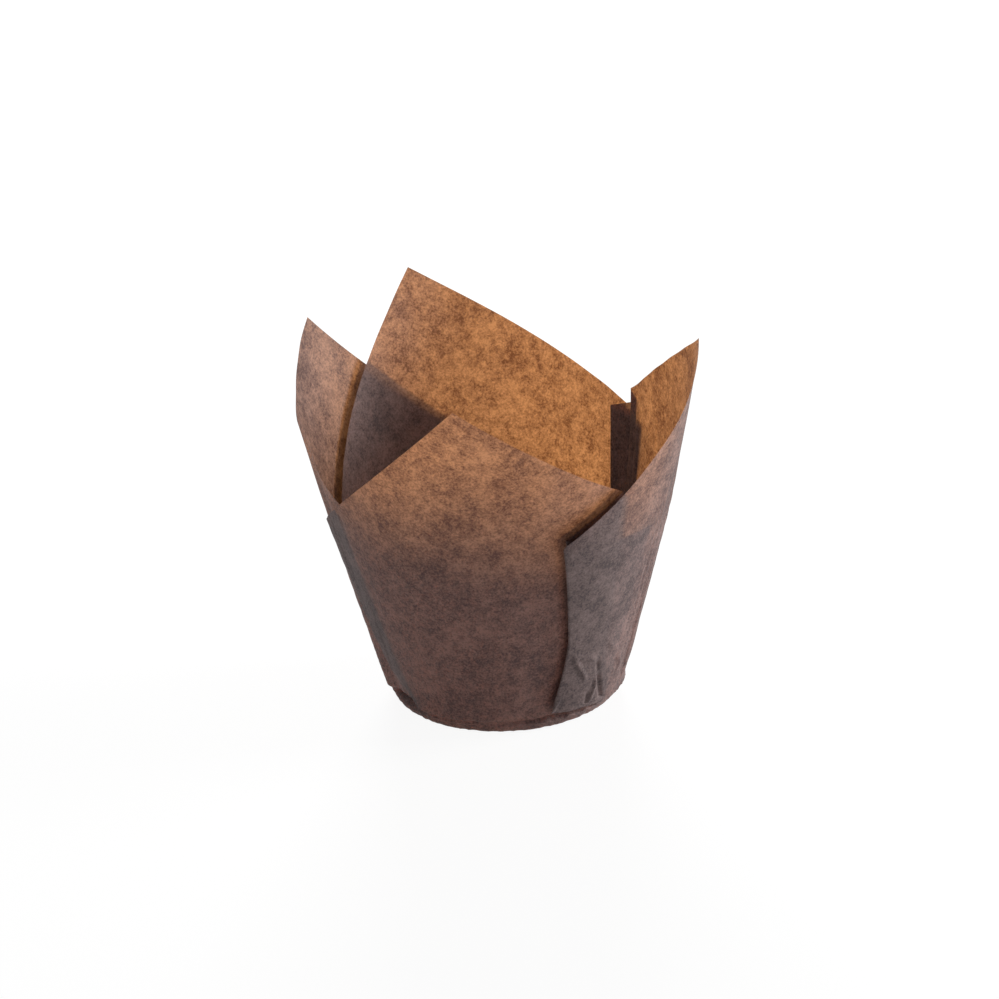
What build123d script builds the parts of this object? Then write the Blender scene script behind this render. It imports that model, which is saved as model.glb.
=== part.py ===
from build123d import *
import os
from cmath import exp, phase
from dataclasses import dataclass
from math import comb, cos, degrees, exp as fade, pi, radians, sin, sqrt, tan

import numpy as np

# A tulip baking cup: one square sheet of greaseproof paper pressed into a cup.
# The base is a flat disc, the wall is a cone, the four corners of the sheet stand
# up as petals, and the middle of each side is taken in by a double knife pleat.
# Millimetres and degrees.  +Z is up, the base rests on z = 0, and azimuths run
# anticlockwise from +X.  "Slant" is measured up the wall from the base's rim.

SHEET_SIDE = 160.0
PAPER_THICKNESS = 0.10
BASE_DIAMETER = 50.0
WALL_LEAN = 15.7          # outward lean of the wall from the vertical
CORNER_RADIUS = 2.5       # rounding between base and wall
LAYER_SPACING = 0.45      # from the middle of one layer to the middle of the next
ONSET_TOP = 4.5           # slant at which the pleats lie flat against the wall
SETTLE_TOP = 15.0         # slant at which the folds have reached their straight lines
SEED_WIDTH = 0.25         # width of the pleat panels where they leave the base
CLEAR_ANGLE = 2.0         # from a pleat to the place where a petal changes layer


@dataclass
class Petal:
    """One corner of the sheet, standing on the wall."""
    azimuth: float        # of the tip
    slip: float           # how far the tip has sunk below its full height
    lean: float           # turn of the petal towards higher azimuths


@dataclass
class Pleat:
    """The folds between a petal and the next: angles from the upright at its apex."""
    outer: float          # outermost fold, which the outer petal runs into
    inner: float          # innermost fold, which the inner petal runs into
    middle: float         # the fold that the side's middle panel shows inside the cup


@dataclass
class Push:
    """A place where the wall is pushed in, deepest at the height of the petals' tips."""
    azimuth: float
    depth: float
    width: float          # angle to either side at which it has faded to about a third
    power: int            # how late the push sets in on the way up


PETALS = (
    Petal(azimuth=260.9, slip=-0.2, lean=-2.5),
    Petal(azimuth=335.6, slip=-1.1, lean=-6.2),
    Petal(azimuth=471.4, slip=0.3, lean=9.3),
    Petal(azimuth=505.0, slip=5.1, lean=-6.3),
)
PLEATS = (
    Pleat(outer=-23.5, inner=-9.5, middle=1.3),
    Pleat(outer=-9.0, inner=-3.0, middle=6.8),
    Pleat(outer=-12.5, inner=28.5, middle=12.0),
    Pleat(outer=-24.0, inner=-8.5, middle=-9.5),
)
PUSHES = (
    Push(azimuth=38.6, depth=17.4, width=50.0, power=2),
    Push(azimuth=189.0, depth=6.5, width=50.0, power=2),
    Push(azimuth=2.3, depth=8.9, width=25.0, power=4),
)
MOUTH_SPREAD = 4.5        # how far the pushes make the rest of the mouth bulge out

lean_sin = sin(radians(WALL_LEAN))
lean_cos = cos(radians(WALL_LEAN))
base_radius = BASE_DIAMETER / 2
corner_setback = CORNER_RADIUS * tan(radians(90 - WALL_LEAN) / 2)
cone_length = base_radius / lean_sin
fold_length = pi * LAYER_SPACING / 2
row_slants = (corner_setback, ONSET_TOP, SETTLE_TOP)

ACROSS = 6                # degree of each patch round the cup
CORNER_RISE = 5           # degrees of the rows of patches up the wall
ROW_RISES = (8, 6, 6)


# ---- The cone laid flat: a complex plane with the cone's tip at the origin ----

def flat_point(azimuth, slant):
    """Where a point of the wall lies when the cone is unrolled."""
    return (cone_length + slant) * exp(1j * radians(azimuth) * lean_sin)


def smooth_step(value):
    """0 below 0, 1 above 1, and level at both ends."""
    x = min(max(value, 0.0), 1.0)
    return x * x * (3 - 2 * x)


def settle(slant):
    """How far the folds have spread from the apex to their straight lines."""
    return smooth_step((slant - corner_setback) / (SETTLE_TOP - corner_setback))


class FlatPetal:
    """Rigid placing of one corner of the sheet on the unrolled cone."""

    def __init__(self, petal, number):
        self.azimuth = petal.azimuth
        self.tip = SHEET_SIDE / sqrt(2) - base_radius - petal.slip
        corner = SHEET_SIDE / sqrt(2) * exp(1j * pi / 2 * number)
        bearing = radians(petal.azimuth) * lean_sin + radians(petal.lean)
        self.turn = exp(1j * (bearing - pi / 2 * number))
        self.shift = flat_point(petal.azimuth, self.tip) - self.turn * corner


class FlatPleat:
    """Four straight folds through one apex, with the panels between them.

    The apex is the one point of the sheet that both neighbouring petals put at
    the same place.  Angles are in radians from the upright at the apex.
    """

    def __init__(self, pleat, inner_petal, outer_petal, number):
        apex_on_sheet = (outer_petal.shift - inner_petal.shift) / (inner_petal.turn - outer_petal.turn)
        self.apex = inner_petal.turn * apex_on_sheet + inner_petal.shift
        toward_side = exp(1j * pi / 2 * (number + 0.5))
        self.edge_distance = SHEET_SIDE / 2 - (apex_on_sheet / toward_side).real
        halfway = radians(inner_petal.azimuth + outer_petal.azimuth) / 2 * lean_sin
        self.bearing = halfway + phase(self.apex / exp(1j * halfway))
        self.azimuth = degrees(self.bearing / lean_sin)
        inner_foot = phase(inner_petal.turn * toward_side / exp(1j * self.bearing))
        outer_foot = phase(outer_petal.turn * toward_side / exp(1j * self.bearing))
        taken_in = (inner_foot - outer_foot) / 2
        a, b, d = radians(pleat.outer), radians(pleat.middle), radians(pleat.inner)
        c = b - (taken_in - (d - a))
        self.folds = {"a": a, "b": b, "c": c, "d": d}
        # Each layer's angle on the wall, and its angle on the sheet from the edge's foot
        self.layers = {
            "inner": (inner_foot, 0.0, 1),
            "Q2": (d, d - inner_foot, -1),
            "M": (c, d - inner_foot + d - c, 1),
            "Q1": (b, d - inner_foot + d - c + b - c, -1),
            "outer": (outer_foot, 0.0, 1),
        }

    def ray_azimuth(self, angle, slant):
        """Azimuth at which a straight line from the apex crosses a given slant."""
        direction = exp(1j * (self.bearing + angle))
        along = (self.apex / direction).real
        reach = -along + sqrt(along ** 2 - abs(self.apex) ** 2 + (cone_length + slant) ** 2)
        return self.azimuth + degrees(phase((self.apex + reach * direction) / self.apex) / lean_sin)

    def fold_azimuth(self, name, slant):
        """Azimuth of a fold, drawn together near the base."""
        spread = self.ray_azimuth(self.folds[name], slant) - self.azimuth
        return self.azimuth + spread * settle(slant)

    def inside_edge(self, layer, azimuth, slant):
        """Distance from a point of a layer to the sheet's cut edge."""
        offset = flat_point(azimuth, slant) - self.apex
        angle = phase(offset / exp(1j * self.bearing))
        on_wall, on_sheet, sense = self.layers[layer]
        return self.edge_distance - abs(offset) * cos(on_sheet + sense * (angle - on_wall))

    def section(self, slant):
        """Zigzag cross-section at one slant: panel widths, fold turn and where M is."""
        radius = base_radius + lean_sin * slant
        at = {name: self.fold_azimuth(name, slant) for name in "abcd"}
        seed = SEED_WIDTH * (1 - settle(slant))
        widths = {
            "Q2": radians(at["d"] - at["c"]) * radius + seed,
            "M": radians(at["b"] - at["c"]) * radius + seed,
            "Q1": radians(at["b"] - at["a"]) * radius + seed,
        }
        turn = pi * smooth_step((slant - corner_setback) / (ONSET_TOP - corner_setback))
        return widths, turn, (at["b"] + at["c"]) / 2, radius


def fold_arc(turn, share):
    """Run, rise and heading after part of a fold strip that turns through an angle."""
    angle = turn * share
    length = fold_length * share
    if abs(angle) < 1e-9:
        return length, 0.0, 0.0
    return length * sin(angle) / angle, length * (1 - cos(angle)) / angle, angle


STRIPS = ("D", "C", "B", "A")
SEQUENCE = ("D", "Q2", "C", "M", "B", "Q1", "A")
TURNS = {"D": 1, "C": -1, "B": 1, "A": -1}


def walk(pleat, slant, item, share):
    """Point of the pleat's section part-way through one item: run, rise, heading."""
    widths, turn, middle, radius = pleat.section(slant)
    run, rise, heading = 0.0, 0.0, 0.0
    found = None
    centre = None
    for name in SEQUENCE:
        part = share if name == item else None
        if name in STRIPS:
            if part is not None:
                found = step_arc(run, rise, heading, TURNS[name] * turn, part)
            run, rise, heading = step_arc(run, rise, heading, TURNS[name] * turn, 1.0)
        else:
            if name == "M":
                centre = (run + widths["M"] / 2, rise)
            if part is not None:
                found = step_line(run, rise, heading, widths[name] * part)
            run, rise, heading = step_line(run, rise, heading, widths[name])
    ahead, out, facing = found
    azimuth = middle + degrees((ahead - centre[0]) / radius)
    return azimuth, out - centre[1], facing


def step_arc(run, rise, heading, turn, share):
    """Move along a fold strip."""
    forward, sideways, angle = fold_arc(turn, share)
    new_run = run + forward * cos(heading) - sideways * sin(heading)
    new_rise = rise + forward * sin(heading) + sideways * cos(heading)
    return new_run, new_rise, heading + angle


def step_line(run, rise, heading, width):
    """Move along a flat panel."""
    return run + width * cos(heading), rise + width * sin(heading), heading


# ---- Points in space ----

def bulge(azimuth, slant):
    """How far the wall stands outside its cone, because the mouth is out of round."""
    reach = max(slant, 0.0) / (SHEET_SIDE / sqrt(2) - base_radius)
    out = MOUTH_SPREAD * reach ** 2
    for push in PUSHES:
        away = (azimuth - push.azimuth + 180) % 360 - 180
        out -= push.depth * fade(-(away / push.width) ** 2) * reach ** push.power
    return out


def wall_point(azimuth, slant, rise, heading, side):
    """A face of the paper: side is +1 for the outside of the sheet, -1 for the inside."""
    half = side * PAPER_THICKNESS / 2
    radius = base_radius + lean_sin * slant
    around = radians(azimuth) - half * sin(heading) / radius
    rise = rise + half * cos(heading) + bulge(azimuth, slant) - bulge(azimuth, corner_setback)
    out = radius + rise * lean_cos
    height = slant * lean_cos - rise * lean_sin + PAPER_THICKNESS / 2
    return (out * cos(around), out * sin(around), height)


def corner_point(azimuth, share, side):
    """A face of the rounded corner: share runs from the flat base to the wall."""
    half = side * PAPER_THICKNESS / 2
    angle = radians(90 - WALL_LEAN) * share
    reach = CORNER_RADIUS + half
    out = base_radius - corner_setback + reach * sin(angle)
    height = CORNER_RADIUS - reach * cos(angle) + PAPER_THICKNESS / 2
    return (out * cos(radians(azimuth)), out * sin(radians(azimuth)), height)


def cut_height(pleat, layer, azimuth_at):
    """Slant at which a line up the wall meets the sheet's cut edge."""
    low, high = SETTLE_TOP, SHEET_SIDE
    for _ in range(60):
        slant = (low + high) / 2
        if pleat.inside_edge(layer, azimuth_at(slant), slant) > 0:
            low = slant
        else:
            high = slant
    return low


# ---- Patches ----

def spaced(degree):
    """Places at which a patch of this degree follows the true surface."""
    return [(1 - cos(pi * i / degree)) / 2 for i in range(degree + 1)]


def bernstein(degree):
    """Values of the Bernstein polynomials at the spaced places."""
    return np.array([[comb(degree, j) * t ** j * (1 - t) ** (degree - j) for j in range(degree + 1)]
                     for t in spaced(degree)])


def control_points(surface, across, rise):
    """Control points of the patch that passes through surface(u, v)."""
    samples = np.array([[surface(u, v) for v in spaced(rise)] for u in spaced(across)])
    rows = np.linalg.solve(bernstein(across), samples.reshape(across + 1, -1)).reshape(samples.shape)
    columns = np.linalg.solve(bernstein(rise), rows.transpose(1, 0, 2).reshape(rise + 1, -1))
    return columns.reshape(rise + 1, across + 1, 3).transpose(1, 0, 2)


def patch(points):
    """A face from a grid of control points."""
    return Face.make_bezier_surface([[tuple(p) for p in row] for row in points])


class Column:
    """One strip of the wall from base to cut edge, between two lines up the wall.

    place(u, slant) gives azimuth, rise and heading; top(u) gives the cut edge's slant.
    """

    def __init__(self, place, top):
        self.place = place
        self.top = top

    def row_surface(self, row, side):
        """Surface of one row of the wall."""
        bottom = row_slants[row]

        def surface(u, v):
            upper = row_slants[row + 1] if row + 1 < len(row_slants) else self.top(u)
            slant = bottom + v * (upper - bottom)
            azimuth, rise, heading = self.place(u, slant)
            return wall_point(azimuth, slant, rise, heading, side)
        return surface

    def faces(self):
        """All faces of this column but the base: outside, inside and the cut edge."""
        made = []
        grids = {}
        for side in (1, -1):
            def corner(u, v):
                return corner_point(self.place(u, corner_setback)[0], v, side)
            made.append(patch(control_points(corner, ACROSS, CORNER_RISE)))
            for row, rise in enumerate(ROW_RISES):
                grids[side] = control_points(self.row_surface(row, side), ACROSS, rise)
                made.append(patch(grids[side]))
        rim = np.stack([grids[-1][:, -1], grids[1][:, -1]], axis=1)
        made.append(patch(rim))
        return made

    def base_edge(self, side):
        """This column's share of the edge of the flat base."""
        def corner(u, v):
            return corner_point(self.place(u, corner_setback)[0], v, side)
        grid = control_points(corner, ACROSS, CORNER_RISE)
        return Edge.make_bezier(*[tuple(p) for p in grid[:, 0]])


def pleat_columns(pleat):
    """The four fold strips and three panels of one pleat."""
    columns = []
    for name in SEQUENCE:
        def place(u, slant, name=name):
            return walk(pleat, slant, name, u)
        if name in STRIPS:
            fold = pleat.folds[name.lower()]
            layer = "Q1" if name in "AB" else "Q2"
            height = cut_height(pleat, layer, lambda slant, fold=fold: pleat.ray_azimuth(fold, slant))
            columns.append(Column(place, lambda u, height=height: height))
        else:
            def top(u, name=name, place=place):
                return cut_height(pleat, name, lambda slant: place(u, slant)[0])
            columns.append(Column(place, top))
    return columns


def petal_columns(petal, before, after):
    """The pieces of one petal, between the pleat before it and the pleat after it."""
    turn_back = 360.0 if after.azimuth < before.azimuth else 0.0

    def ends(slant):
        low, low_rise, _ = walk(before, slant, "A", 1.0)
        high, high_rise, _ = walk(after, slant, "D", 0.0)
        return low, high + turn_back, low_rise, high_rise

    def line(share):
        def azimuth_at(slant):
            low, high, _, _ = ends(slant)
            return low + share * (high - low)
        return azimuth_at

    def share_of(azimuth, slant):
        low, high, _, _ = ends(slant)
        return (azimuth - low) / (high - low)

    side_slant = SHEET_SIDE / 2 - base_radius
    past_before = max(before.fold_azimuth("b", side_slant), before.fold_azimuth("d", side_slant))
    short_of_after = min(after.fold_azimuth("a", side_slant), after.fold_azimuth("c", side_slant)) + turn_back
    leave = share_of(past_before + CLEAR_ANGLE, side_slant)
    arrive = share_of(short_of_after - CLEAR_ANGLE, side_slant)
    tip = share_of(petal.azimuth, petal.tip)

    def place_at(share, slant):
        low, high, low_rise, high_rise = ends(slant)
        rise = low_rise + (high_rise - low_rise) * smooth_step((share - leave) / (arrive - leave))
        return low + share * (high - low), rise, 0.0

    def top_at(share):
        if abs(share - tip) < 1e-9:
            return petal.tip
        if share < tip:
            return cut_height(before, "outer", line(share))
        return cut_height(after, "inner", lambda slant: line(share)(slant) - turn_back)

    columns = []
    lines = sorted((0.0, leave, tip, arrive, 1.0))
    for left, right in zip(lines, lines[1:]):
        def place(u, slant, left=left, right=right):
            return place_at(left + u * (right - left), slant)
        def top(u, left=left, right=right):
            return top_at(left + u * (right - left))
        columns.append(Column(place, top))
    return columns


def base_face(columns, side):
    """Flat face of the base on one side of the paper."""
    return Face(Wire([column.base_edge(side) for column in columns]))


def folded_sheet():
    """The whole sheet as one solid."""
    petals = [FlatPetal(petal, number) for number, petal in enumerate(PETALS)]
    following = petals[1:] + [FlatPetal(Petal(PETALS[0].azimuth + 360, PETALS[0].slip, PETALS[0].lean), 4)]
    pleats = [FlatPleat(PLEATS[i], petals[i], following[i], i) for i in range(len(PLEATS))]
    columns = []
    for i, pleat in enumerate(pleats):
        columns += pleat_columns(pleat)
        columns += petal_columns(following[i], pleat, pleats[(i + 1) % len(pleats)])
    faces = [face for column in columns for face in column.faces()]
    faces += [base_face(columns, 1), base_face(columns, -1)]
    return Solid(Shell(faces))


os.makedirs("parts", exist_ok=True)
liner = folded_sheet()
liner.label = "liner"
export_step(liner, "parts/liner.step")
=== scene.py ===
from math import cos, pi, radians, sin, sqrt, tan

import bpy
import numpy as np
from mathutils import Matrix, Vector


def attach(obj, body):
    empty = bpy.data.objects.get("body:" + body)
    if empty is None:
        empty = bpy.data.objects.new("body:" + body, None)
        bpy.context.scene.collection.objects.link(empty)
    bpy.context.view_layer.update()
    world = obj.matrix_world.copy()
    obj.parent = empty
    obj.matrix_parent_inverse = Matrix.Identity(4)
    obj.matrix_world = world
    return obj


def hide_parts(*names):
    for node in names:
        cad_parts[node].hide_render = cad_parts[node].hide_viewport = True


# A tulip baking cup: one square of brown greaseproof paper pressed into a cup.
# Metres and radians, in the frame's own axes.  Only the tables of plain numbers hold
# millimetres and degrees.  "Slant" is measured up the wall from the base's rim, and "rise"
# outwards from the wall's middle surface.

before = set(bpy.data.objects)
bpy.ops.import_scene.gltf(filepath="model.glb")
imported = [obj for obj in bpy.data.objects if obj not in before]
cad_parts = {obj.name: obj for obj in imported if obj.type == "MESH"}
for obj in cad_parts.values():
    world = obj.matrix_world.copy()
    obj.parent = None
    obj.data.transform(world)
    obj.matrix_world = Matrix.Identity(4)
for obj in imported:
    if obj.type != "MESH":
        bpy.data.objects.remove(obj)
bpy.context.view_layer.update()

MM = 0.001
SHEET_SIDE = 160 * MM
PAPER_THICKNESS = 0.10 * MM
BASE_RADIUS = 25 * MM
WALL_LEAN = radians(15.7)
CORNER_RADIUS = 2.5 * MM
LAYER_SPACING = 0.45 * MM  # from the middle of one layer to the middle of the next
ONSET_TOP = 4.5 * MM      # slant at which the pleats lie flat against the wall
SETTLE_TOP = 15 * MM      # slant at which the folds have reached their straight lines
SEED_WIDTH = 0.25 * MM    # width of the pleat panels where they leave the base
CLEAR_ANGLE = radians(2.0)  # from a pleat to the place where a petal changes layer

# Each petal: azimuth of its tip, how far the tip has sunk, and its lean
PETALS = ((260.9, -0.2, -2.5), (335.6, -1.1, -6.2), (471.4, 0.3, 9.3), (505.0, 5.1, -6.3))
# Each pleat: its outermost fold, its innermost fold and the fold of its middle panel, as
# angles from the upright at its apex
PLEATS = ((-23.5, -9.5, 1.3), (-9.0, -3.0, 6.8), (-12.5, 28.5, 12.0), (-24.0, -8.5, -9.5))
# Where the mouth is pushed in: azimuth, depth, width, and how late the push sets in
PUSHES = ((38.6, 17.4, 50, 2), (189.0, 6.5, 50, 2), (2.3, 8.9, 25, 4))
MOUTH_SPREAD = 4.5 * MM
# The pleat whose outer fold stands proud, how far, and how far along the paper that fades
PROUD_PLEAT = 0
PROUD_LIFT = 1.3 * MM
PROUD_FADE = 15 * MM
PROUD_SLANTS = (20 * MM, 50 * MM)
# That fold bends at a kink and runs on to the rim instead of to its pleat's apex
KINK_SLANT = 24 * MM
KINK_AZIMUTH = radians(294.7)
KINK_FOOT = radians(288.0)
KINK_RUN = radians(0.24) / MM  # how fast the fold drifts back above the kink
KINK_START = 2.2 * MM
PROUD_ONSET = 3.1 * MM    # slant at which this pleat lies flat, before its panels widen
# Zones of fine flutes: azimuth, half the width, depth
FLUTE_ZONES = ((350, 22, 0.26), (30, 14, 0.14), (196, 22, 0.13), (150, 12, 0.09))
FLUTE_START = 12 * MM     # slant at which the flutes are at full depth
FLUTE_FADE = (48 * MM, 22 * MM)  # slant at which they begin to fade, and over how much
# How their depth wavers: distance up the wall, rate round it, and share of the depth
WAVER_RUN, WAVER_RATE, WAVER_SHARE = 9 * MM, 25, 0.4
# Sine waves: rate round the wall, rate up it, phase, weight
FLUTE_RIPPLES = ((118, 0, 0.0, 1.0), (71, 0, 1.3, 0.6), (163, 0, 0.4, 0.5))
SLOW_WAVES = ((3, 5, 0.0, 1.0), (7, -6, 1.1, 0.7))
QUICK_WAVES = ((17, 9, 0.0, 1.0), (29, -14, 0.7, 1.0))
RIM_RIPPLES = ((11, 0, 0.5, 1.0), (19, 0, 2.0, 1.0), (31, 0, 0.0, 1.0), (47, 0, 0.0, 1.0))
SLOW_DEPTH, QUICK_DEPTH = 0.30, 0.06  # millimetres at the height of a petal's tip
# The crumpled spot low on the wall, and the creases about it: start and end, each as a
# distance round the wall and up it from that spot, then height and half the width
CREASE_AZIMUTH = radians(312)
CREASE_SLANT = 13 * MM
CREASES = (
    ((-8, 7), (-1, 4), 0.55, 0.7),
    ((-8, 7), (-3, -1), 0.50, 0.7),
    ((-1, 4), (0, 0), -0.55, 0.7),
    ((0, 0), (3, -9), -0.75, 0.8),
    ((0, -1), (-1, -8), 0.50, 0.7),
    ((1, 8), (6, 3), 0.40, 1.0),
    ((6, 3), (8, -3), 0.35, 1.2),
    ((2, 9), (0, 8), 0.30, 0.6),
    ((-9, -4), (-11, -9), 0.45, 0.6),
    ((-2, -4), (-2, -10), -0.40, 0.6),
)
CREASE_END = 1.5          # millimetres over which a crease fades out at each end
CREASE_ONSET = 2 * MM     # height above the base's corner at which creases are at full depth
RIM_LIFT = 0.28 * MM
RIM_FADE = 9 * MM         # slant at which the rim's lifts have died away

# The mesh
LINE_GAP = 0.85 * MM      # between lines up the sheet, at the height of the lowest cut edge
FINE_GAP = 0.45 * MM      # the same on the creased and fluted petal
FOLD_LINES = 4            # lines in each fold strip
FEWEST_LINES = 4          # lines in the narrowest panel
CORNER_ROWS = 8
LOW_ROWS = 38             # rows from the base's corner up to where the folds run straight
LOW_CROWDING = 1.4        # how much closer those rows lie near the base
HIGH_ROWS = 66            # rows from there to the cut edge
HALVINGS = 24             # steps in the search for a cut edge
DEEP = 3 * MM             # distance past which a place counts as well inside a doubled area

lean_sin, lean_cos = sin(WALL_LEAN), cos(WALL_LEAN)
corner_setback = CORNER_RADIUS * tan((pi / 2 - WALL_LEAN) / 2)
cone_length = BASE_RADIUS / lean_sin
fold_length = pi * LAYER_SPACING / 2
half_diagonal = SHEET_SIDE / sqrt(2)
side_slant = SHEET_SIDE / 2 - BASE_RADIUS


# ---- The folded sheet: the CAD solid's folds, apart from the proud one ----

def smooth_step(value):
    """0 below 0, 1 above 1, and level at both ends."""
    x = np.clip(value, 0.0, 1.0)
    return x * x * (3 - 2 * x)


def flat_point(azimuth, slant):
    """Where a point of the wall lies when its cone is unrolled, as a complex number."""
    return (cone_length + slant) * np.exp(1j * azimuth * lean_sin)


def angle_from(azimuth, middle):
    """Angle round from middle to azimuth, up to half a turn either way."""
    return (azimuth - middle + pi) % (2 * pi) - pi


def sine_waves(terms, azimuth, reach=0.0):
    """Sum of sine waves round and up the wall."""
    return sum(weight * np.sin(around * azimuth + up * reach + phase)
               for around, up, phase, weight in terms)


def bulge(azimuth, slant):
    """How far the wall stands outside its cone, because the mouth is out of round."""
    reach = slant / (half_diagonal - BASE_RADIUS)
    out = MOUTH_SPREAD * reach ** 2
    for middle, depth, width, power in PUSHES:
        away = angle_from(azimuth, radians(middle))
        out = out - depth * MM * np.exp(-(away / radians(width)) ** 2) * reach ** power
    return out


def proud_fold(foot, slant):
    """Azimuth of the proud fold: straight high up, bent at the kink, and down to the rim."""
    above = KINK_AZIMUTH - KINK_RUN * (slant - KINK_SLANT)
    drift = np.sin(pi / 2 * np.clip(slant / KINK_SLANT, 0, 1))
    below = KINK_FOOT + (KINK_AZIMUTH - KINK_FOOT) * drift
    bent = np.where(slant < KINK_SLANT, below, above)
    return foot + (bent - foot) * smooth_step((slant - PROUD_ONSET) / KINK_START)


def proud_rise(azimuth, slant, pleat):
    """How far the proud fold and the paper beside it stand off the layers below."""
    radius = BASE_RADIUS + lean_sin * slant
    away = np.maximum(azimuth - pleat.fold_azimuth("a", slant), 0.0) * radius
    low, high = PROUD_SLANTS
    fade = np.exp(-(away / PROUD_FADE) ** 2)
    return PROUD_LIFT * fade * smooth_step((slant - low) / (high - low))


def tent(distance, half_width):
    """A ridge with a sharp crest."""
    return np.maximum(0.0, 1.0 - np.abs(distance) / half_width)


def flutes(azimuth, slant):
    """Fine upright ripples where the paper was gathered in the press."""
    out = 0.0
    for middle, width, depth in FLUTE_ZONES:
        away = angle_from(azimuth, radians(middle))
        zone = np.exp(-(away / radians(width)) ** 4)
        ripple = sine_waves(FLUTE_RIPPLES, away)
        waver = 1 - WAVER_SHARE + WAVER_SHARE * np.sin(slant / WAVER_RUN + WAVER_RATE * away)
        out = out + depth * MM * zone * ripple * waver
    begin, over = FLUTE_FADE
    return out * smooth_step(slant / FLUTE_START) * (1 - smooth_step((slant - begin) / over))


def waves(azimuth, slant):
    """Slow unevenness of the whole wall, growing towards the petals' tips."""
    reach = slant / (half_diagonal - BASE_RADIUS)
    slow = sine_waves(SLOW_WAVES, azimuth, reach)
    quick = sine_waves(QUICK_WAVES, azimuth, reach)
    return (SLOW_DEPTH * slow + QUICK_DEPTH * quick) * MM * reach


def creases(azimuth, slant):
    """Sharp press creases low on the wall, about one crumpled spot."""
    x = angle_from(azimuth, CREASE_AZIMUTH) * (BASE_RADIUS + lean_sin * slant) / MM
    y = (slant - CREASE_SLANT) / MM
    out = 0.0
    for (x0, y0), (x1, y1), height, half_width in CREASES:
        length = sqrt((x1 - x0) ** 2 + (y1 - y0) ** 2)
        along = ((x - x0) * (x1 - x0) + (y - y0) * (y1 - y0)) / length
        across = ((x - x0) * (y1 - y0) - (y - y0) * (x1 - x0)) / length
        fade = np.clip(along / CREASE_END, 0, 1) * np.clip((length - along) / CREASE_END, 0, 1)
        out = out + height * MM * tent(across, half_width) * fade
    return out


def rim_crinkle(azimuth):
    """Small lifts of the rounded rim of the base, never below it."""
    return RIM_LIFT * np.abs(sine_waves(RIM_RIPPLES, azimuth)) / 2


def settle(slant):
    """How far the folds have spread from their apex to their straight lines."""
    return smooth_step((slant - corner_setback) / (SETTLE_TOP - corner_setback))


class Petal:
    """Rigid placing of one corner of the sheet on the unrolled cone."""

    def __init__(self, azimuth, slip, lean, number):
        self.azimuth = radians(azimuth)
        self.tip = half_diagonal - BASE_RADIUS - slip * MM
        corner = half_diagonal * np.exp(1j * pi / 2 * number)
        self.turn = np.exp(1j * (self.azimuth * lean_sin + radians(lean) - pi / 2 * number))
        self.shift = flat_point(self.azimuth, self.tip) - self.turn * corner


class Pleat:
    """Four straight folds through one apex, and the panels between them."""

    def __init__(self, angles, inner, outer, number):
        self.number = number
        on_sheet = (outer.shift - inner.shift) / (inner.turn - outer.turn)
        self.apex = inner.turn * on_sheet + inner.shift
        side = np.exp(1j * pi / 2 * (number + 0.5))
        self.edge_distance = SHEET_SIDE / 2 - (on_sheet / side).real
        halfway = (inner.azimuth + outer.azimuth) / 2 * lean_sin
        self.bearing = halfway + np.angle(self.apex / np.exp(1j * halfway))
        self.azimuth = self.bearing / lean_sin
        upright = np.exp(1j * self.bearing)
        inner_foot = np.angle(inner.turn * side / upright)
        outer_foot = np.angle(outer.turn * side / upright)
        a, d, b = (radians(angle) for angle in angles)
        c = b - ((inner_foot - outer_foot) / 2 - (d - a))
        self.folds = {"a": a, "b": b, "c": c, "d": d}
        at_d = d - inner_foot
        at_c = at_d + d - c
        self.layers = {
            "inner": (inner_foot, 0.0, 1),
            "Q2": (d, at_d, -1),
            "M": (c, at_c, 1),
            "Q1": (b, at_c + b - c, -1),
            "outer": (outer_foot, 0.0, 1),
        }

    def ray_azimuth(self, angle, slant):
        """Azimuth at which a straight line from the apex crosses a slant."""
        direction = np.exp(1j * (self.bearing + angle))
        along = (self.apex / direction).real
        reach = -along + np.sqrt(along ** 2 - abs(self.apex) ** 2 + (cone_length + slant) ** 2)
        return self.azimuth + np.angle((self.apex + reach * direction) / self.apex) / lean_sin

    def fold_azimuth(self, name, slant):
        """Azimuth of a fold, drawn together near the base."""
        if self.number == PROUD_PLEAT and name == "a":
            return proud_fold(self.azimuth, slant)
        spread = self.ray_azimuth(self.folds[name], slant) - self.azimuth
        return self.azimuth + spread * settle(slant)

    def sheet_polar(self, layer, azimuth, slant):
        """Distance from the apex, and angle on the sheet from the side's middle."""
        offset = flat_point(azimuth, slant) - self.apex
        on_wall, on_sheet, sense = self.layers[layer]
        angle = np.angle(offset / np.exp(1j * self.bearing))
        return abs(offset), on_sheet + sense * (angle - on_wall)

    def inside_edge(self, layer, azimuth, slant):
        """Distance from a point of a layer to the sheet's cut edge."""
        reach, angle = self.sheet_polar(layer, azimuth, slant)
        return self.edge_distance - reach * np.cos(angle)


SEQUENCE = ("D", "Q2", "C", "M", "B", "Q1", "A")
TURNS = {"D": 1, "C": -1, "B": 1, "A": -1}


def step_arc(run, rise, heading, turn, share):
    """Move along part of a fold strip that turns through an angle."""
    angle = turn * share
    length = fold_length * share
    forward = length * np.sinc(angle / pi)
    sideways = length * (angle / 2) * np.sinc(angle / 2 / pi) ** 2
    new_run = run + forward * np.cos(heading) - sideways * np.sin(heading)
    new_rise = rise + forward * np.sin(heading) + sideways * np.cos(heading)
    return new_run, new_rise, heading + angle


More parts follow.
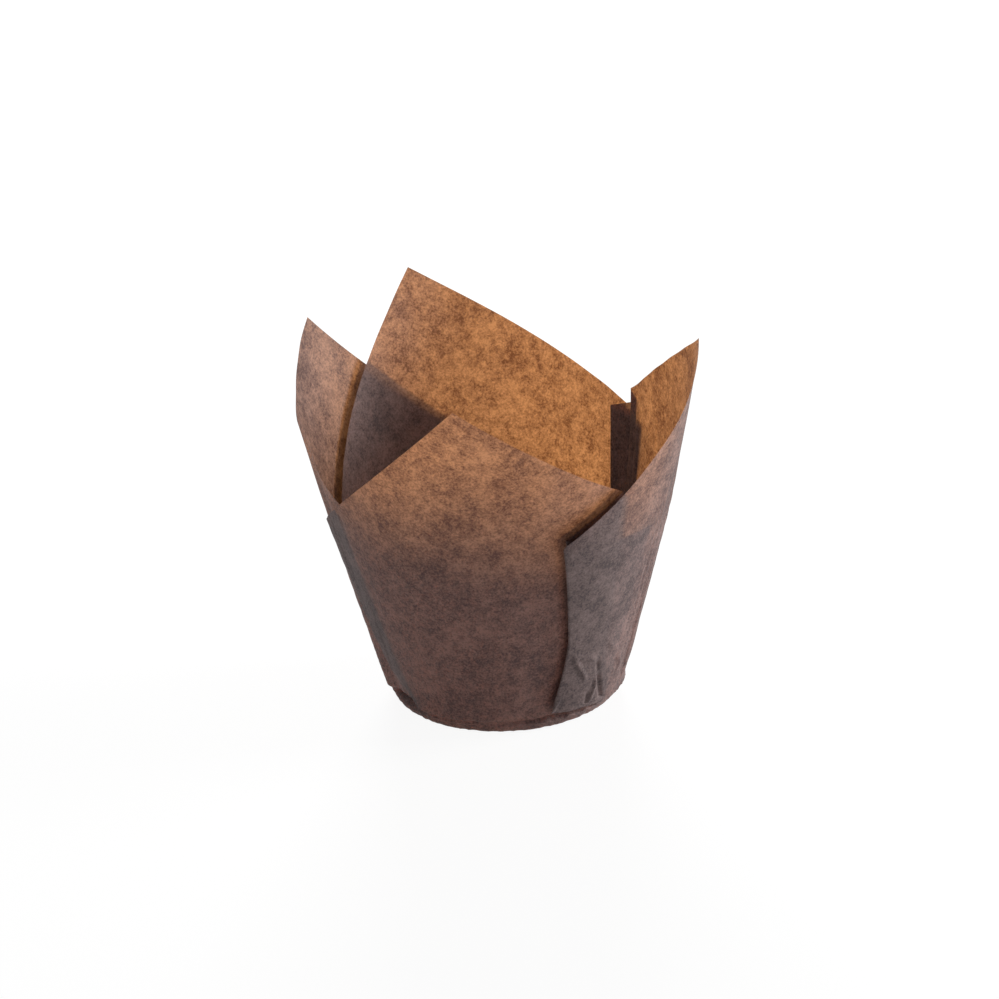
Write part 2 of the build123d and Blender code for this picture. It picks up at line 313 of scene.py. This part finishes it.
def walk(pleat, slant, item, share):
    """A line up the pleat, part-way through one item of its zigzag section."""
    radius = BASE_RADIUS + lean_sin * slant
    at = {name: pleat.fold_azimuth(name, slant) for name in "abcd"}
    seed = SEED_WIDTH * (1 - settle(slant))
    widths = {
        "Q2": (at["d"] - at["c"]) * radius + seed,
        "M": (at["b"] - at["c"]) * radius + seed,
        "Q1": (at["b"] - at["a"]) * radius + seed,
    }
    onset = PROUD_ONSET if pleat.number == PROUD_PLEAT else ONSET_TOP
    turn = pi * smooth_step((slant - corner_setback) / (onset - corner_setback))
    run = rise = heading = np.zeros_like(slant)
    for name in SEQUENCE:
        if name in TURNS:
            if name == item:
                found = step_arc(run, rise, heading, TURNS[name] * turn, share)
            run, rise, heading = step_arc(run, rise, heading, TURNS[name] * turn, 1.0)
        else:
            width = widths[name]
            if name == item:
                found = (run + share * width * np.cos(heading),
                         rise + share * width * np.sin(heading), heading)
            if name == "M":
                centre = (run + width / 2, rise)
            run = run + width * np.cos(heading)
            rise = rise + width * np.sin(heading)
    azimuth = (at["b"] + at["c"]) / 2 + (found[0] - centre[0]) / radius
    # Half folded over, the panels would stand out as lips, so they are pushed inwards there
    half_over = 4 * turn / pi * (1 - turn / pi)
    return azimuth, found[1] - centre[1] - (rise - centre[1]) * half_over


def cut_height(pleat, layer, azimuth_at):
    """Slant at which a line up the wall meets the sheet's cut edge."""
    low, high = SETTLE_TOP, SHEET_SIDE
    for _ in range(HALVINGS):
        slant = np.array([(low + high) / 2])
        if pleat.inside_edge(layer, azimuth_at(slant), slant)[0] > 0:
            low = slant[0]
        else:
            high = slant[0]
    return low


class Line:
    """One line up the sheet: place(slant) gives azimuth and rise, top is where it ends.

    proud is the pleat whose proud fold it is part of, or None, and overlap(slant) is how
    far inside a doubled area its points lie, the mask for the paper's painted shade.
    """

    def __init__(self, place, top, proud, overlap):
        self.place = place
        self.top = top
        self.proud = proud
        self.overlap = overlap


def pleat_lines(pleat):
    """Lines across one pleat, in the order they come along the paper."""
    lines = []
    for name in SEQUENCE:
        strip = name in TURNS
        if strip:
            layer = "Q1" if name in "AB" else "Q2"
            height = cut_height(pleat, layer, lambda slant: pleat.fold_azimuth(name.lower(), slant))
            count = FOLD_LINES
        else:
            layer = name
            width = (pleat.fold_azimuth("b" if name != "Q2" else "d", side_slant)
                     - pleat.fold_azimuth("a" if name == "Q1" else "c", side_slant))
            count = max(FEWEST_LINES, round(width * (BASE_RADIUS + lean_sin * side_slant) / LINE_GAP))
        for share in np.arange(count) / count:
            def place(slant, name=name, share=share):
                return walk(pleat, slant, name, share)
            top = height if strip else cut_height(pleat, layer, lambda slant: place(slant)[0])
            proud = pleat if pleat.number == PROUD_PLEAT and name in ("A", "Q1") else None
            # Pleat panels count as doubled throughout, so they get the full painted shade
            lines.append(Line(place, top, proud, lambda slant: np.full_like(slant, DEEP)))
    return lines


def petal_lines(petal, before, after):
    """Lines across one petal, from the pleat before it to the pleat after it."""
    back = 2 * pi if after.azimuth < before.azimuth else 0.0

    def place_at(share, slant):
        low, low_rise = walk(before, slant, "A", 1.0)
        high, high_rise = walk(after, slant, "D", 0.0)
        azimuth = low + share * (high + back - low)
        across = smooth_step((share - leave) / (arrive - leave))
        return azimuth, low_rise + (high_rise - low_rise) * across

    def share_of(azimuth, slant):
        slant = np.array([slant])
        low = walk(before, slant, "A", 1.0)[0][0]
        high = walk(after, slant, "D", 0.0)[0][0] + back
        return (azimuth - low) / (high - low)

    past = max(before.fold_azimuth(name, side_slant) for name in "bd")
    short = min(after.fold_azimuth(name, side_slant) for name in "ac") + back
    leave = share_of(past + CLEAR_ANGLE, side_slant)
    arrive = share_of(short - CLEAR_ANGLE, side_slant)
    tip = share_of(petal.azimuth, petal.tip)
    width = (after.fold_azimuth("d", side_slant) + back - before.fold_azimuth("a", side_slant))
    gap = FINE_GAP if before.number == PROUD_PLEAT else LINE_GAP
    total = width * (BASE_RADIUS + lean_sin * side_slant) / gap
    first = round(total * tip)
    second = round(total * (1 - tip))
    shares = np.concatenate([np.linspace(0, tip, first, endpoint=False),
                             np.linspace(tip, 1, second, endpoint=False)])
    lines = []
    for share in shares:
        def place(slant, share=share):
            return place_at(share, slant)
        if share == tip:
            top = petal.tip
        elif share < tip:
            top = cut_height(before, "outer", lambda slant: place(slant)[0])
        else:
            top = cut_height(after, "inner", lambda slant: place(slant)[0] - back)

        def overlap(slant, place=place):
            azimuth = place(slant)[0]
            under = np.minimum(before.inside_edge("inner", azimuth, slant),
                               (before.fold_azimuth("d", slant) - azimuth) * BASE_RADIUS)
            over = np.minimum(after.inside_edge("outer", azimuth - back, slant),
                              (azimuth - back - after.fold_azimuth("a", slant)) * BASE_RADIUS)
            return np.clip(np.maximum(under, over), -DEEP, DEEP)
        lines.append(Line(place, top, before if before.number == PROUD_PLEAT else None, overlap))
    return lines


def sheet_lines():
    """All lines up the sheet, once round the cup."""
    petals = [Petal(*PETALS[i], i) for i in range(4)]
    azimuth, slip, lean = PETALS[0]
    petals.append(Petal(azimuth + 360, slip, lean, 4))
    pleats = [Pleat(PLEATS[i], petals[i], petals[i + 1], i) for i in range(4)]
    lines = []
    for i in range(4):
        lines += pleat_lines(pleats[i])
        lines += petal_lines(petals[i + 1], pleats[i], pleats[(i + 1) % 4])
    return lines


def line_slants(line):
    """Slants of one line's points on the wall."""
    low = corner_setback + (SETTLE_TOP - corner_setback) * (np.arange(LOW_ROWS) / LOW_ROWS) ** LOW_CROWDING
    return np.concatenate([low, np.linspace(SETTLE_TOP, line.top, HIGH_ROWS)])


def line_points(line):
    """Points of one line from the rim of the flat base to the cut edge."""
    slant = line_slants(line)
    azimuth, rise = line.place(slant)
    rise = rise + bulge(azimuth, slant) - bulge(azimuth, corner_setback)
    rise = rise + flutes(azimuth, slant) + waves(azimuth, slant)
    if line.proud is not None:
        rise = rise + proud_rise(azimuth, slant, line.proud)
        rise = rise + creases(azimuth, slant) * smooth_step((slant - corner_setback) / CREASE_ONSET)
    out = BASE_RADIUS + lean_sin * slant + rise * lean_cos
    height = slant * lean_cos - rise * lean_sin
    flat_radius = BASE_RADIUS - corner_setback
    bend = (pi / 2 - WALL_LEAN) * np.arange(1, CORNER_ROWS) / CORNER_ROWS
    out = np.concatenate([[flat_radius], flat_radius + CORNER_RADIUS * np.sin(bend), out])
    crinkle = rim_crinkle(azimuth[0]) * np.sin(bend)
    height = height + rim_crinkle(azimuth) * (1 - smooth_step(slant / RIM_FADE))
    height = np.concatenate([[0.0], CORNER_RADIUS * (1 - np.cos(bend)) + crinkle, height])
    around = np.concatenate([np.full(len(out) - len(azimuth), azimuth[0]), azimuth])
    height = height + PAPER_THICKNESS / 2
    return np.stack([out * np.cos(around), out * np.sin(around), height], axis=1)


def build_liner():
    """The folded sheet as one mesh."""
    lines = sheet_lines()
    grid = np.array([line_points(line) for line in lines])
    around, up = grid.shape[:2]  # how many lines, and how many rows
    verts = grid.reshape(-1, 3)
    index = np.arange(around * up).reshape(around, up)
    after = np.roll(index, -1, axis=0)
    quads = np.stack([index[:, :-1], after[:, :-1], after[:, 1:], index[:, 1:]], axis=-1)
    flat_base = index[::-1, 0].tolist()
    faces = quads.reshape(-1, 4).tolist() + [flat_base]
    mesh = bpy.data.meshes.new("liner_paper")
    mesh.from_pydata(verts.tolist(), [], faces)
    mesh.shade_smooth()
    # The mask for the paper's painted shade: how far each point lies inside a doubled area
    below = np.full(up - LOW_ROWS - HIGH_ROWS, -DEEP)
    doubled = [np.concatenate([below, line.overlap(line_slants(line))]) for line in lines]
    attribute = mesh.attributes.new("overlap", "FLOAT", "POINT")
    attribute.data.foreach_set("value", np.concatenate(doubled) / MM)
    piece = bpy.data.objects.new("liner_paper", mesh)
    bpy.context.collection.objects.link(piece)
    return piece


# ---- Materials ----

# Each shader shows half its colour, because the paper is an even mix of the two
FRONT_DARK, FRONT_LIGHT = (0.23, 0.175, 0.175), (0.62, 0.465, 0.445)
THROUGH_DARK, THROUGH_LIGHT = (0.17, 0.050, 0.010), (0.61, 0.250, 0.076)
THROUGH_SHARE = 0.5       # share of the paper's look that is the light it lets through
PAINTED_SHADE_SHARE = 0.35      # painted shade: share of the light let through that is kept where the paper is doubled
PAINTED_SHADE_EDGE = (-0.5, 0.3)  # millimetres inside a doubled area where that painted shade begins and is full
SPECULAR = 0.35
ROUGHNESS_LEAST, ROUGHNESS_SPREAD = 0.42, 0.30
# The paper's fibres at three sizes: scale, detail and roughness, then weight
CLOUDS, CLOUD_WEIGHT = (130, 3, 0.55), 0.28
FLECKS, FLECK_WEIGHT = (520, 4, 0.7), 0.30
FIBRES, FIBRE_WEIGHT = (2000, 2, 0.7), 0.42
DARK_UNTIL, LIGHT_FROM = 0.40, 0.60  # density at which the paper is darkest and lightest
BUMP_STRENGTH, BUMP_DISTANCE = 0.5, 0.12 * MM
FIBRE_BUMP = 0.5
FLOOR_WHITE = 0.92        # glow of the floor as it is seen
FLOOR_SHADOW = 0.16       # how strongly that floor shows light and shadow
FLOOR_GREY = 0.82         # the floor as it lights the object
AMBIENT = 0.15            # even light from all round


def noise(nodes, links, place, scale, detail, roughness):
    """A cloud of one size in the paper."""
    node = nodes.new("ShaderNodeTexNoise")
    node.inputs["Scale"].default_value = scale
    node.inputs["Detail"].default_value = detail
    node.inputs["Roughness"].default_value = roughness
    links.new(place, node.inputs["Vector"])
    return node.outputs["Fac"]


def weighted(nodes, links, value, weight, rest):
    """value times weight, plus rest, which is a socket or a number."""
    node = nodes.new("ShaderNodeMath")
    node.operation = "MULTIPLY_ADD"
    links.new(value, node.inputs[0])
    node.inputs[1].default_value = weight
    if isinstance(rest, float):
        node.inputs[2].default_value = rest
    else:
        links.new(rest, node.inputs[2])
    return node.outputs[0]


def ramp(nodes, links, value, dark, light):
    """A colour from dark to light as the paper's density goes up."""
    node = nodes.new("ShaderNodeValToRGB")
    node.color_ramp.elements[0].position = DARK_UNTIL
    node.color_ramp.elements[0].color = (*dark, 1)
    node.color_ramp.elements[1].position = LIGHT_FROM
    node.color_ramp.elements[1].color = (*light, 1)
    links.new(value, node.inputs["Fac"])
    return node.outputs["Color"]


def paper_material():
    """Brown greaseproof paper: cloudy fibres, and see-through, with painted shade where it is doubled."""
    material = bpy.data.materials.new("brown_greaseproof")
    material.use_nodes = True
    nodes, links = material.node_tree.nodes, material.node_tree.links
    nodes.clear()
    place = nodes.new("ShaderNodeTexCoord").outputs["Object"]
    clouds = noise(nodes, links, place, *CLOUDS)
    flecks = noise(nodes, links, place, *FLECKS)
    fibres = noise(nodes, links, place, *FIBRES)
    density = weighted(nodes, links, clouds, CLOUD_WEIGHT, 0.0)
    density = weighted(nodes, links, flecks, FLECK_WEIGHT, density)
    density = weighted(nodes, links, fibres, FIBRE_WEIGHT, density)

    front = nodes.new("ShaderNodeBsdfPrincipled")
    front.inputs["Specular IOR Level"].default_value = SPECULAR
    front_colour = ramp(nodes, links, density, FRONT_DARK, FRONT_LIGHT)
    links.new(front_colour, front.inputs["Base Color"])
    roughness = weighted(nodes, links, flecks, ROUGHNESS_SPREAD, ROUGHNESS_LEAST)
    links.new(roughness, front.inputs["Roughness"])

    # Painted shade: the light let through is dimmed where the paper is doubled, on top of the shade the
    # modelled second layer gives
    doubled = nodes.new("ShaderNodeAttribute")
    doubled.attribute_name = "overlap"
    shade = nodes.new("ShaderNodeMapRange")
    shade.inputs["From Min"].default_value = PAINTED_SHADE_EDGE[0]
    shade.inputs["From Max"].default_value = PAINTED_SHADE_EDGE[1]
    shade.inputs["To Min"].default_value = 1.0
    shade.inputs["To Max"].default_value = PAINTED_SHADE_SHARE
    links.new(doubled.outputs["Fac"], shade.inputs["Value"])
    through_colour = ramp(nodes, links, density, THROUGH_DARK, THROUGH_LIGHT)
    dimmed = nodes.new("ShaderNodeVectorMath")
    dimmed.operation = "SCALE"
    links.new(through_colour, dimmed.inputs[0])
    links.new(shade.outputs["Result"], dimmed.inputs["Scale"])
    through = nodes.new("ShaderNodeBsdfTranslucent")
    links.new(dimmed.outputs[0], through.inputs["Color"])

    bump = nodes.new("ShaderNodeBump")
    bump.inputs["Strength"].default_value = BUMP_STRENGTH
    bump.inputs["Distance"].default_value = BUMP_DISTANCE
    links.new(weighted(nodes, links, fibres, FIBRE_BUMP, flecks), bump.inputs["Height"])
    links.new(bump.outputs["Normal"], front.inputs["Normal"])

    mix = nodes.new("ShaderNodeMixShader")
    mix.inputs[0].default_value = THROUGH_SHARE
    links.new(front.outputs[0], mix.inputs[1])
    links.new(through.outputs[0], mix.inputs[2])
    output = nodes.new("ShaderNodeOutputMaterial")
    links.new(mix.outputs[0], output.inputs["Surface"])
    return material


def seen_directly(nodes, links):
    """1 for what the camera sees, directly or mirrored, and 0 for what lights the object.

    Transmission rays are left out: light scattered through paper is one of them, and
    the white background would light the object from behind.
    """
    rays = nodes.new("ShaderNodeLightPath")
    either = nodes.new("ShaderNodeMath")
    either.operation = "MAXIMUM"
    links.new(rays.outputs["Is Camera Ray"], either.inputs[0])
    links.new(rays.outputs["Is Glossy Ray"], either.inputs[1])
    return either.outputs[0]


def floor_material():
    """A pale floor that renders as white paper and keeps a faint shadow."""
    material = bpy.data.materials.new("pale_floor")
    material.use_nodes = True
    nodes, links = material.node_tree.nodes, material.node_tree.links
    nodes.clear()
    plain = nodes.new("ShaderNodeBsdfDiffuse")
    plain.inputs["Color"].default_value = (FLOOR_GREY, FLOOR_GREY, FLOOR_GREY, 1)
    glow = nodes.new("ShaderNodeEmission")
    glow.inputs["Color"].default_value = (1, 1, 1, 1)
    glow.inputs["Strength"].default_value = FLOOR_WHITE
    faint = nodes.new("ShaderNodeBsdfDiffuse")
    faint.inputs["Color"].default_value = (FLOOR_SHADOW, FLOOR_SHADOW, FLOOR_SHADOW, 1)
    both = nodes.new("ShaderNodeAddShader")
    links.new(glow.outputs[0], both.inputs[0])
    links.new(faint.outputs[0], both.inputs[1])
    mix = nodes.new("ShaderNodeMixShader")
    links.new(seen_directly(nodes, links), mix.inputs[0])
    links.new(plain.outputs[0], mix.inputs[1])
    links.new(both.outputs[0], mix.inputs[2])
    output = nodes.new("ShaderNodeOutputMaterial")
    links.new(mix.outputs[0], output.inputs["Surface"])
    return material


liner = build_liner()
liner.data.materials.append(paper_material())
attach(liner, "root")
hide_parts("liner")

# ---- Stage, camera and light ----

FLOOR_SIZE = 6.0
CAMERA_ELEVATION = radians(21.83)
CAMERA_ROLL = radians(-2.78)
CAMERA_DISTANCE = 0.651
CAMERA_TARGET = Vector((0.00026, 0, 0.04476))
SENSOR_WIDTH = 36         # millimetres, as the lens is
LENS = 107.3777
# Lamps: name, place, size, power
LAMPS = (("back", (0.0, 0.86, 0.25), 0.35, 9), ("right", (0.86, 0.10, 0.20), 0.4, 6))
LAMP_TARGET = Vector((0, 0, 0.04))


def add_floor():
    bpy.ops.mesh.primitive_plane_add(size=FLOOR_SIZE, location=(0, 0, 0))
    floor = bpy.context.object
    floor.name = "floor"
    floor.data.materials.append(floor_material())


def add_camera():
    forward = Vector((0, cos(CAMERA_ELEVATION), -sin(CAMERA_ELEVATION)))
    right = Vector((1, 0, 0))
    up = Vector((0, sin(CAMERA_ELEVATION), cos(CAMERA_ELEVATION)))
    side = cos(CAMERA_ROLL) * right + sin(CAMERA_ROLL) * up
    top = -sin(CAMERA_ROLL) * right + cos(CAMERA_ROLL) * up
    camera = bpy.data.objects.new("camera", bpy.data.cameras.new("camera"))
    bpy.context.collection.objects.link(camera)
    camera.data.sensor_width = SENSOR_WIDTH
    camera.data.lens = LENS
    turn = Matrix((side, top, -forward)).transposed().to_4x4()
    camera.matrix_world = Matrix.Translation(CAMERA_TARGET - CAMERA_DISTANCE * forward) @ turn
    bpy.context.scene.camera = camera


def add_area(name, place, size, power):
    light = bpy.data.lights.new(name, "AREA")
    light.size = size
    light.energy = power
    lamp = bpy.data.objects.new(name, light)
    bpy.context.collection.objects.link(lamp)
    lamp.location = place
    lamp.rotation_euler = (LAMP_TARGET - Vector(place)).to_track_quat("-Z", "Y").to_euler()


def add_world():
    """Even dim light all round, behind a white background."""
    world = bpy.data.worlds.new("world")
    bpy.context.scene.world = world
    world.use_nodes = True
    nodes, links = world.node_tree.nodes, world.node_tree.links
    background = nodes["Background"]
    background.inputs["Color"].default_value = (1, 1, 1, 1)
    strength = weighted(nodes, links, seen_directly(nodes, links), 1 - AMBIENT, AMBIENT)
    links.new(strength, background.inputs["Strength"])


add_floor()
add_camera()
add_world()
for name, place, size, power in LAMPS:
    add_area(name, place, size, power)
bpy.context.scene.view_settings.view_transform = "Standard"
